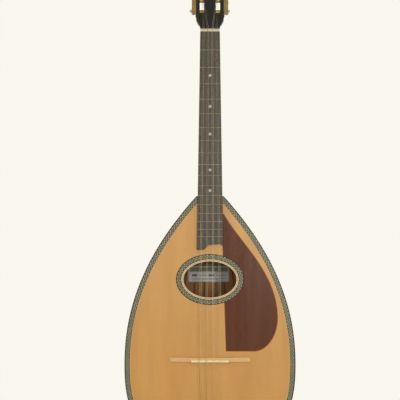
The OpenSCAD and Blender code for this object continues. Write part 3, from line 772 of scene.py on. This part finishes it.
def oval_strip(name, lo, hi, material, stands_for=(), front=-0.00004, back=INLAY_BACK):
    """Oval ring between two distances out from the hole's edge."""
    inner, outer = oval(lo), oval(hi)
    bm = bmesh.new()
    rows = [[bm.verts.new((q.x, y, q.y)) for q, y in ((a, back), (a, front), (b, front), (b, back))]
            for a, b in zip(inner, outer)]
    grid_faces(bm, rows, close_rows=True, close_cols=True)
    bmesh.ops.recalc_face_normals(bm, faces=bm.faces)
    obj = from_bmesh(name, bm)
    obj.data.set_sharp_from_angle(angle=math.radians(30))
    return place(obj, material, stands_for=stands_for)


def rosette():
    """Pale double ring at the hole, then the mosaic between two dark lines."""
    ring, line, band = 0.004, 0.0014, 0.0105
    thin = 0.0006
    oval_strip("hole_ring_inner", 0, (ring - thin) / 2, M["ring"], ("rosette_ring",))
    oval_strip("hole_ring_line", (ring - thin) / 2, (ring + thin) / 2, M["dark"])
    oval_strip("hole_ring_outer", (ring + thin) / 2, ring, M["ring"])
    oval_strip("rosette_line_inner", ring, ring + line, M["dark"], ("rosette_mosaic",))
    oval_strip("rosette_line_outer", ring + band - line, ring + band, M["dark"])
    lo, hi = ring + line, ring + band - line
    pts = even(oval((lo + hi) / 2), TILE_LONG, closed=True)
    if len(pts) % 2:
        pts = even(oval((lo + hi) / 2), TILE_LONG + 0.00005, closed=True)
    half = (hi - lo) / 2
    outward = [-n for n in normals_2d(pts, True)]
    obj = tiles("rosette_tiles", pts, outward, -half, half, -0.00006, INLAY_BACK, TILE_ROWS, 23, closed=True)
    place(obj, M["mosaic"])
    oval_strip("rosette_tile_bed", lo, hi, M["dark"], front=0.00012)


def guard_line():
    """A thin redder line let in just inside the pickguard's edge, except where it meets the rosette."""
    shape = copy_of("pickguard", "guard_shape")
    face = max((p for p in shape.data.polygons if p.normal.y < -0.9), key=lambda p: p.area)
    loop = [Vector((shape.data.vertices[i].co.x, shape.data.vertices[i].co.z)) for i in face.vertices]
    bpy.data.objects.remove(shape)
    turn = sum(a.x * b.y - b.x * a.y for a, b in zip(loop, loop[1:] + loop[:1]))
    pts = even(loop, 0.0015, closed=True)
    inward = [n if turn > 0 else -n for n in normals_2d(pts, True)]
    near = 0.0165
    rx, rz = HOLE_RX + near, HOLE_RZ + near
    clear = [((p.x - HOLE_AT.x) / rx) ** 2 + ((p.y - HOLE_AT.y) / rz) ** 2 > 1 for p in pts]
    start = next(i for i in range(len(pts)) if clear[i] and not clear[i - 1])
    order = [(start + i) % len(pts) for i in range(len(pts)) if clear[(start + i) % len(pts)]]
    obj = ribbon("pickguard_line", [pts[i] for i in order], [inward[i] for i in order], 0.0002, 0.0011,
                 -0.00004, 0.0004)
    place(obj, M["guard_line"])


finish_node("soundboard", M["spruce"], 0.0003)
front_edge()
rosette()
finish_node("pickguard", M["guard"], 0.00015)
guard_line()
finish_node("soundboard_braces", M["brace"], 0.0008, 3)


# ---- Bowl ----

STAVES = 21
FILLET_ANGLE = math.radians(0.7)
STAVE_T = 0.0024
BOWL_END = 33 / 36
BOWL_STEPS = 72


def bowl_point(u, angle, t, flatten=1.0):
    """Point of the bowl at place u along the rim, turned by angle from the treble side to the back."""
    p = inset(u, t)
    return Vector((p.x * math.cos(angle) * flatten, BOARD_T + p.x * math.sin(angle) * flatten, p.y))


def bowl_strip(bm, a0, a1, outer, inner, cols, flat, tone_layer=None, tone=0.0):
    """Closed solid of one rib between two angles: nearly flat across, curved along."""
    mid, half = (a0 + a1) / 2, (a1 - a0) / 2

    def row(u, t):
        out = []
        for k in range(cols + 1):
            a = a0 + (a1 - a0) * k / cols
            chord = math.cos(half) / math.cos(a - mid)
            out.append(bm.verts.new(bowl_point(u, a, t, 1 + (chord - 1) * flat)))
        return out

    us = [BOWL_END * i / BOWL_STEPS for i in range(BOWL_STEPS + 1)]
    skins = [[row(u, outer) for u in us], [row(u, inner) for u in us]]
    before = len(bm.faces)
    grid_faces(bm, skins[0])
    grid_faces(bm, [list(reversed(r)) for r in skins[1]])
    for k in (0, cols):
        edge = [[skins[0][i][k], skins[1][i][k]] for i in range(len(us))]
        grid_faces(bm, edge)
    for i in (0, len(us) - 1):
        grid_faces(bm, [skins[0][i], skins[1][i]])
    bm.faces.ensure_lookup_table()
    if tone_layer is not None:
        for f in bm.faces[before:]:
            f[tone_layer] = tone


def bowl():
    step = math.pi / STAVES
    for name, cols in (("bowl_ribs", 4), ("bowl_fillet_strips", 1)):
        bm = bmesh.new()
        rng = random.Random(5)
        layer = bm.faces.layers.float.new("rib")
        if name == "bowl_ribs":
            for i in range(STAVES):
                a0 = i * step + (FILLET_ANGLE / 2 if i else 0)
                a1 = (i + 1) * step - (FILLET_ANGLE / 2 if i < STAVES - 1 else 0)
                bowl_strip(bm, a0, a1, 0.0, STAVE_T, cols, 0.9, layer, rng.random())
        else:
            for i in range(1, STAVES):
                a0, a1 = i * step - FILLET_ANGLE / 2, i * step + FILLET_ANGLE / 2
                bowl_strip(bm, a0, a1, 0.0, STAVE_T, cols, 0)
        bmesh.ops.recalc_face_normals(bm, faces=bm.faces)
        obj = from_bmesh(name, bm)
        obj.data.set_sharp_from_angle(angle=math.radians(40))
        if name == "bowl_ribs":
            place(obj, M["bowl"], stands_for=("bowl_staves",))
        else:
            place(obj, M["fillet"], stands_for=("bowl_fillets",))


bowl()
for node, material, slot in (
        ("rim_linings", "block", "block_wood"),
        ("neck_block", "block", "block_wood"), ("tail_block", "block", "block_wood"),
        ("tail_cap", "bowl", "bowl_wood"), ("neck", "neck", "neck_wood")):
    finish_node(node, M[material])


def bowl_radius(z, t):
    """Radius of the bowl at height z, moved inward by t."""
    lo, hi = 0.0, 1.0
    for _ in range(40):
        mid = (lo + hi) / 2
        if inset(mid, t).y > z:
            lo = mid
        else:
            hi = mid
    return inset(lo, t).x


def bowl_inside():
    """Brown lining inside the ribs, with a darker line along each joint."""
    bm = bmesh.new()
    layer = bm.faces.layers.float.new("rib")
    rng = random.Random(8)
    us = [BOWL_END * (i + 0.4) / 60 for i in range(60)]
    step = math.pi / STAVES
    seam = math.radians(0.4)
    for k in range(STAVES):
        strips = [(k * step, (k + 1) * step, 0.0003, rng.uniform(0.1, 0.35))]
        if k:
            strips.append((k * step - seam, k * step + seam, 0.0005, 1.0))
        for lo, hi, t, tone in strips:
            count = len(bm.faces)
            mid, half = (lo + hi) / 2, (hi - lo) / 2
            rows = []
            for u in us:
                angles = [lo + (hi - lo) * c / 4 for c in range(5)]
                rows.append([bm.verts.new(bowl_point(u, a, STAVE_T + t, math.cos(half) / math.cos(a - mid)))
                             for a in angles])
            grid_faces(bm, rows)
            bm.faces.ensure_lookup_table()
            for f in bm.faces[count:]:
                f[layer] = tone
    obj = from_bmesh("bowl_lining_sheets", bm)
    place(obj, M["bowl_inner"], stands_for=("bowl_lining",))
    thicken(obj, 0.0004, -1)


def label():
    """Label bent to the bowl, with its own across and up coordinates for the printed areas."""
    lo, hi = low("paper_label"), high("paper_label")
    bm = bmesh.new()
    across = bm.verts.layers.float.new("across")
    up = bm.verts.layers.float.new("up")
    cols, rows_n = 28, 14
    rows = []
    for i in range(rows_n + 1):
        v = i / rows_n
        z = lo.z + (hi.z - lo.z) * (0.01 + 0.98 * v)
        radius = bowl_radius(z, STAVE_T + 0.0013)
        row = []
        for k in range(cols + 1):
            u = k / cols
            x = lo.x + (hi.x - lo.x) * u
            vert = bm.verts.new((x, BOARD_T + math.sqrt(radius * radius - x * x), z))
            vert[across], vert[up] = u, v
            row.append(vert)
        rows.append(row)
    grid_faces(bm, rows)
    bmesh.ops.recalc_face_normals(bm, faces=bm.faces)
    obj = from_bmesh("label_sheet", bm)
    thicken(obj, 0.0002, 0)
    place(obj, M["label"], stands_for=("paper_label",))


bowl_inside()
label()
for node, material, slot, width in (
        ("headstock", "black", "head_black", 0.0006), ("head_overlay", "black", "head_black", 0.0005),
        ("fingerboard", "finger", "rosewood", 0.0004), ("frets", "fret", "fret_metal", 0.0002),
        ("position_markers", "pearl", "pearl", 0.00005), ("bridge_base", "bridge", "bridge_maple", 0.0006),
        ("tailpiece", "nickel", "fret_metal", 0.0003), ("tailpiece_screws", "gilt", "gilt", 0.0003),
        ("strap_button", "strap", "strap_plastic", 0.0004), ("tuner_plate_left", "gilt", "gilt", 0.0002),
        ("tuner_plate_right", "gilt", "gilt", 0.0002), ("tuner_plate_screws", "gilt", "gilt", 0.0002)):
    finish_node(node, M[material], width)
for n in range(1, 9):
    finish_node(f"worm_shaft_{n}", M["worm"], 0.0, body=f"knob_{n}")
    finish_node(f"tuning_button_{n}", M["button"], 0.0004, body=f"knob_{n}")
    finish_node(f"string_roller_{n}", M["gear"], 0.0001, body=f"roller_{n}")


# ---- Small metal parts ----

def slotted_screw(name, centre, axis, radius, height, turn, body):
    """A round screw head with a cut slot: a thin disc and two half-round lands on it."""
    bm = bmesh.new()
    slot = radius * 0.16

    def block(points, z0, z1):
        lower, upper = ([bm.verts.new((x, y, z)) for x, y in points] for z in (z0, z1))
        bm.faces.new(list(reversed(lower)))
        bm.faces.new(upper)
        grid_faces(bm, [lower, upper], close_cols=True)

    block([(radius * math.cos(a), radius * math.sin(a)) for a in (math.pi * k / 16 for k in range(32))],
          0, height * 0.45)
    start = math.asin(slot / radius)
    for sign in (1, -1):
        arc = [start + (math.pi - 2 * start) * k / 14 for k in range(15)]
        block([(radius * math.cos(a), sign * radius * math.sin(a)) for a in arc], height * 0.4, height)
    bmesh.ops.recalc_face_normals(bm, faces=bm.faces)
    spin = axis.to_track_quat("Z", "Y").to_matrix().to_4x4() @ Matrix.Rotation(turn, 4, "Z")
    bm.transform(Matrix.Translation(centre) @ spin)
    return place(soften(from_bmesh(name, bm), radius * 0.08, 2), M["gear"], body=body)


def gear_screws():
    rng = random.Random(31)
    for n in range(1, 9):
        node = f"string_roller_{n}"
        side = -1 if middle(node).x < 0 else 1
        end = low(node).x if side < 0 else high(node).x
        centre = Vector(joint(f"roller_{n}_turn")["pos_m"])
        centre.x = end - side * 0.0001
        slotted_screw(f"gear_screw_{n}", centre, Vector((side, 0, 0)), 0.002, 0.0009,
                      rng.uniform(0, math.pi), f"roller_{n}")


HOOK_OUT = 0.0024                                         # the string hooks stand this far off the tailpiece


def tail_ornament():
    """A raised bead round the tailpiece and a plain flower of eight petals in its middle."""
    lo, hi = low("tailpiece"), high("tailpiece")
    face = lo.y + HOOK_OUT
    w, z0, z1 = hi.x - 0.0028, lo.z + 0.004, TAIL_Z + 0.046
    corners = [Vector((-w, z0)), Vector((w, z0)), Vector((w, z1)), Vector((-w, z1))]
    pts = even(corners, 0.001, closed=True)
    for _ in range(6):
        pts = [(pts[i - 1] + pts[i] * 2 + pts[(i + 1) % len(pts)]) / 4 for i in range(len(pts))]
    middle_z = (z0 + z1) / 2
    ring = [Vector((0.011 * math.cos(a), middle_z + 0.015 * math.sin(a)))
            for a in (2 * math.pi * k / 72 for k in range(72))]
    for name, points in (("tail_bead", pts), ("tail_oval", ring)):
        obj = ribbon(name, points, normals_2d(points, True), -0.0005, 0.0005, face - 0.0004, face + 0.0003,
                     closed=True)
        place(soften(obj, 0.00025, 3), M["nickel"])
    petals = 8
    petal_out = Matrix.Translation((0, 0, 0.0052))
    bits = [(Matrix.Rotation(2 * math.pi * k / petals, 4, "Y") @ petal_out, (0.0013, 0.0005, 0.0034))
            for k in range(petals)]
    bits.append((Matrix.Identity(4), (0.0016, 0.0005, 0.0016)))
    bm = bmesh.new()
    for away, size in bits:
        spot = Matrix.Translation((0, face, middle_z)) @ away @ Matrix.Diagonal((*size, 1))
        bmesh.ops.create_icosphere(bm, subdivisions=3, radius=1, matrix=spot)
    place(from_bmesh("tail_flower", bm), M["nickel"])


gear_screws()
tail_ornament()


# ---- Strings, nut and saddle ----

STRINGS = range(8)
STRING_RS = [v * MM for v in (0.36, 0.2, 0.3, 0.17, 0.22, 0.22, 0.15, 0.15)]
LANES = [v * MM for v in (17, 15.3, 17.1, 18.9)]
SADDLE_TOP = Vector((0, low("bridge_saddle").y, middle("bridge_saddle").z))
NUT_LINE = Vector((0, low("nut").y, middle("nut").z))
TAIL_HOOK = Vector((0, -7.2 * MM, TAIL_Z + 54 * MM))
ROLLER_R = 4 * MM
NUT_GAPS = (8.5, 2.4)                                     # between courses, and inside a pair, in mm
SADDLE_GAPS = (13.8, 3)


def spread(k, gap, pair):
    """Sideways place of string k when courses are gap apart and the strings of a pair are pair apart."""
    return ((k // 2 - 1.5) * gap + (pair / 2 if k % 2 else -pair / 2)) * MM


def roller_of(k):
    """Number of the roller that string k winds on, the direction of its side, and its row from the nut."""
    row = k if k < 4 else 7 - k
    return (row + 1 if k < 4 else row + 5), (-1 if k < 4 else 1), row


def winding_frame(k):
    """Centre of the roller at string k's lane, with the head's forward and upward directions."""
    number, side, row = roller_of(k)
    centre = Vector(joint(f"roller_{number}_turn")["pos_m"])
    centre.x = side * LANES[row]
    forward = -HEAD_AXIS
    upward = Vector((0, math.sin(HEAD_TILT), math.cos(HEAD_TILT)))
    return number, side, centre, forward, upward


def string_route(k):
    r = STRING_RS[k]
    _, _, centre, forward, _ = winding_frame(k)
    tail = Vector(((k - 3.5) * 5 * MM, TAIL_HOOK.y, TAIL_HOOK.z))
    return [tail, Vector((spread(k, *SADDLE_GAPS), SADDLE_TOP.y - r, SADDLE_TOP.z)),
            Vector((spread(k, *NUT_GAPS), NUT_LINE.y - r, NUT_LINE.z)), centre + forward * (ROLLER_R + r)]


def tube(name, points, radius, sides=10):
    """A round wire through points."""
    bm = bmesh.new()
    rows = []
    for i, p in enumerate(points):
        d = (points[min(i + 1, len(points) - 1)] - points[max(i - 1, 0)]).normalized()
        side = d.cross(Vector((0, 1, 0.01))).normalized()
        up = side.cross(d)
        rows.append([bm.verts.new(p + (side * math.cos(a) + up * math.sin(a)) * radius)
                     for a in (2 * math.pi * c / sides for c in range(sides))])
    grid_faces(bm, rows, close_cols=True)
    bm.faces.new(reversed(rows[0]))
    bm.faces.new(rows[-1])
    bmesh.ops.recalc_face_normals(bm, faces=bm.faces)
    return from_bmesh(name, bm)


def coil_points(k, turns, step, start=0.0):
    """Winding of string k on its roller, toward the slot's inner side."""
    _, side, centre, forward, upward = winding_frame(k)
    radius = ROLLER_R + STRING_RS[k]
    out = []
    for i in range(round(turns * 24) + 1):
        a = start + 2 * math.pi * i / 24
        shift = Vector((-side * step * a / (2 * math.pi), 0, 0))
        out.append(centre + shift + (forward * math.cos(a) + upward * math.sin(a)) * radius)
    return out


def twist_points(k):
    """The tail end of string k, twisted round itself in front of its hook."""
    tail, saddle = string_route(k)[:2]
    d = (saddle - tail).normalized()
    side = d.cross(Vector((0, 1, 0))).normalized()
    up = side.cross(d)
    r = STRING_RS[k]
    return [tail + d * (0.0015 + 0.0006 * i) + (side * math.cos(i * 1.1) + up * math.sin(i * 1.1)) * 2 * r
            for i in range(18)]


def strings():
    wound = (0, 2)
    for k in STRINGS:
        kind = "wound" if k in wound else "plain"
        material = M["bronze"] if k in wound else M["steel"]
        r = STRING_RS[k]
        stands = (f"strings_{kind}",) if k in (0, 1) else ()
        place(tube(f"string_{k + 1}", string_route(k), r), material, stands_for=stands)
        place(tube(f"string_{k + 1}_twist", twist_points(k), r * 0.8, 6), material)
        turns = 2.6 if k in wound else 4.6
        coil = tube(f"string_{k + 1}_winding", coil_points(k, turns, 2.15 * r), r, 8)
        place(coil, material, body=f"roller_{roller_of(k)[0]}")


def grooved_bar(name, profile, half, centres, width, depth, top_rows):
    """A bar along X with this profile (y, z), notched at the centres where strings cross it."""
    xs = {-half, half}
    for c in centres:
        xs.update((c - width, c - width * 0.5, c, c + width * 0.5, c + width))
    bm = bmesh.new()
    rows = []
    for x in sorted(xs):
        near = min(abs(x - c) for c in centres)
        cut = depth * max(0.0, 1 - (near / width) ** 2)
        rows.append([bm.verts.new((x, y + (cut if i in top_rows else 0), z))
                     for i, (y, z) in enumerate(profile)])
    grid_faces(bm, rows, close_cols=True)
    bm.faces.new(reversed(rows[0]))
    bm.faces.new(rows[-1])
    bmesh.ops.recalc_face_normals(bm, faces=bm.faces)
    return from_bmesh(name, bm)


def nut_and_saddle():
    lo, hi = low("nut"), high("nut")
    rim_y, fall = lo.y, 1.4 * MM
    profile = [(0, lo.z), (rim_y + 0.0008, lo.z), (rim_y + 0.0002, lo.z + 0.0006), (rim_y, lo.z + 0.0014),
               (rim_y, middle("nut").z), (rim_y + fall * 0.5, hi.z - 0.0014), (rim_y + fall, hi.z - 0.0002),
               (rim_y + fall + 0.0006, hi.z), (0, hi.z)]
    bar = grooved_bar("nut_bar", profile, hi.x, [spread(k, *NUT_GAPS) for k in STRINGS], 0.0006,
                      0.00035, (2, 3, 4, 5, 6))
    bar.data.set_sharp_from_angle(angle=math.radians(50))
    place(soften(bar, 0.0004, 2, 50), M["nut_bone"], stands_for=("nut",))
    lo, hi = low("bridge_saddle"), high("bridge_saddle")
    y, t = lo.y, hi.z - lo.z
    profile = [(hi.y, lo.z), (y + 0.0012, lo.z), (y + 0.0003, lo.z + t * 0.2), (y, lo.z + t * 0.42),
               (y, hi.z - t * 0.42), (y + 0.0003, hi.z - t * 0.2), (y + 0.0012, hi.z), (hi.y, hi.z)]
    bar = grooved_bar("saddle_bar", profile, hi.x, [spread(k, *SADDLE_GAPS) for k in STRINGS], 0.0007,
                      0.0003, (2, 3, 4, 5))
    bar.data.set_sharp_from_angle(angle=math.radians(50))
    place(soften(bar, 0.0007, 3, 50), M["bone"], stands_for=("bridge_saddle",))


strings()
nut_and_saddle()
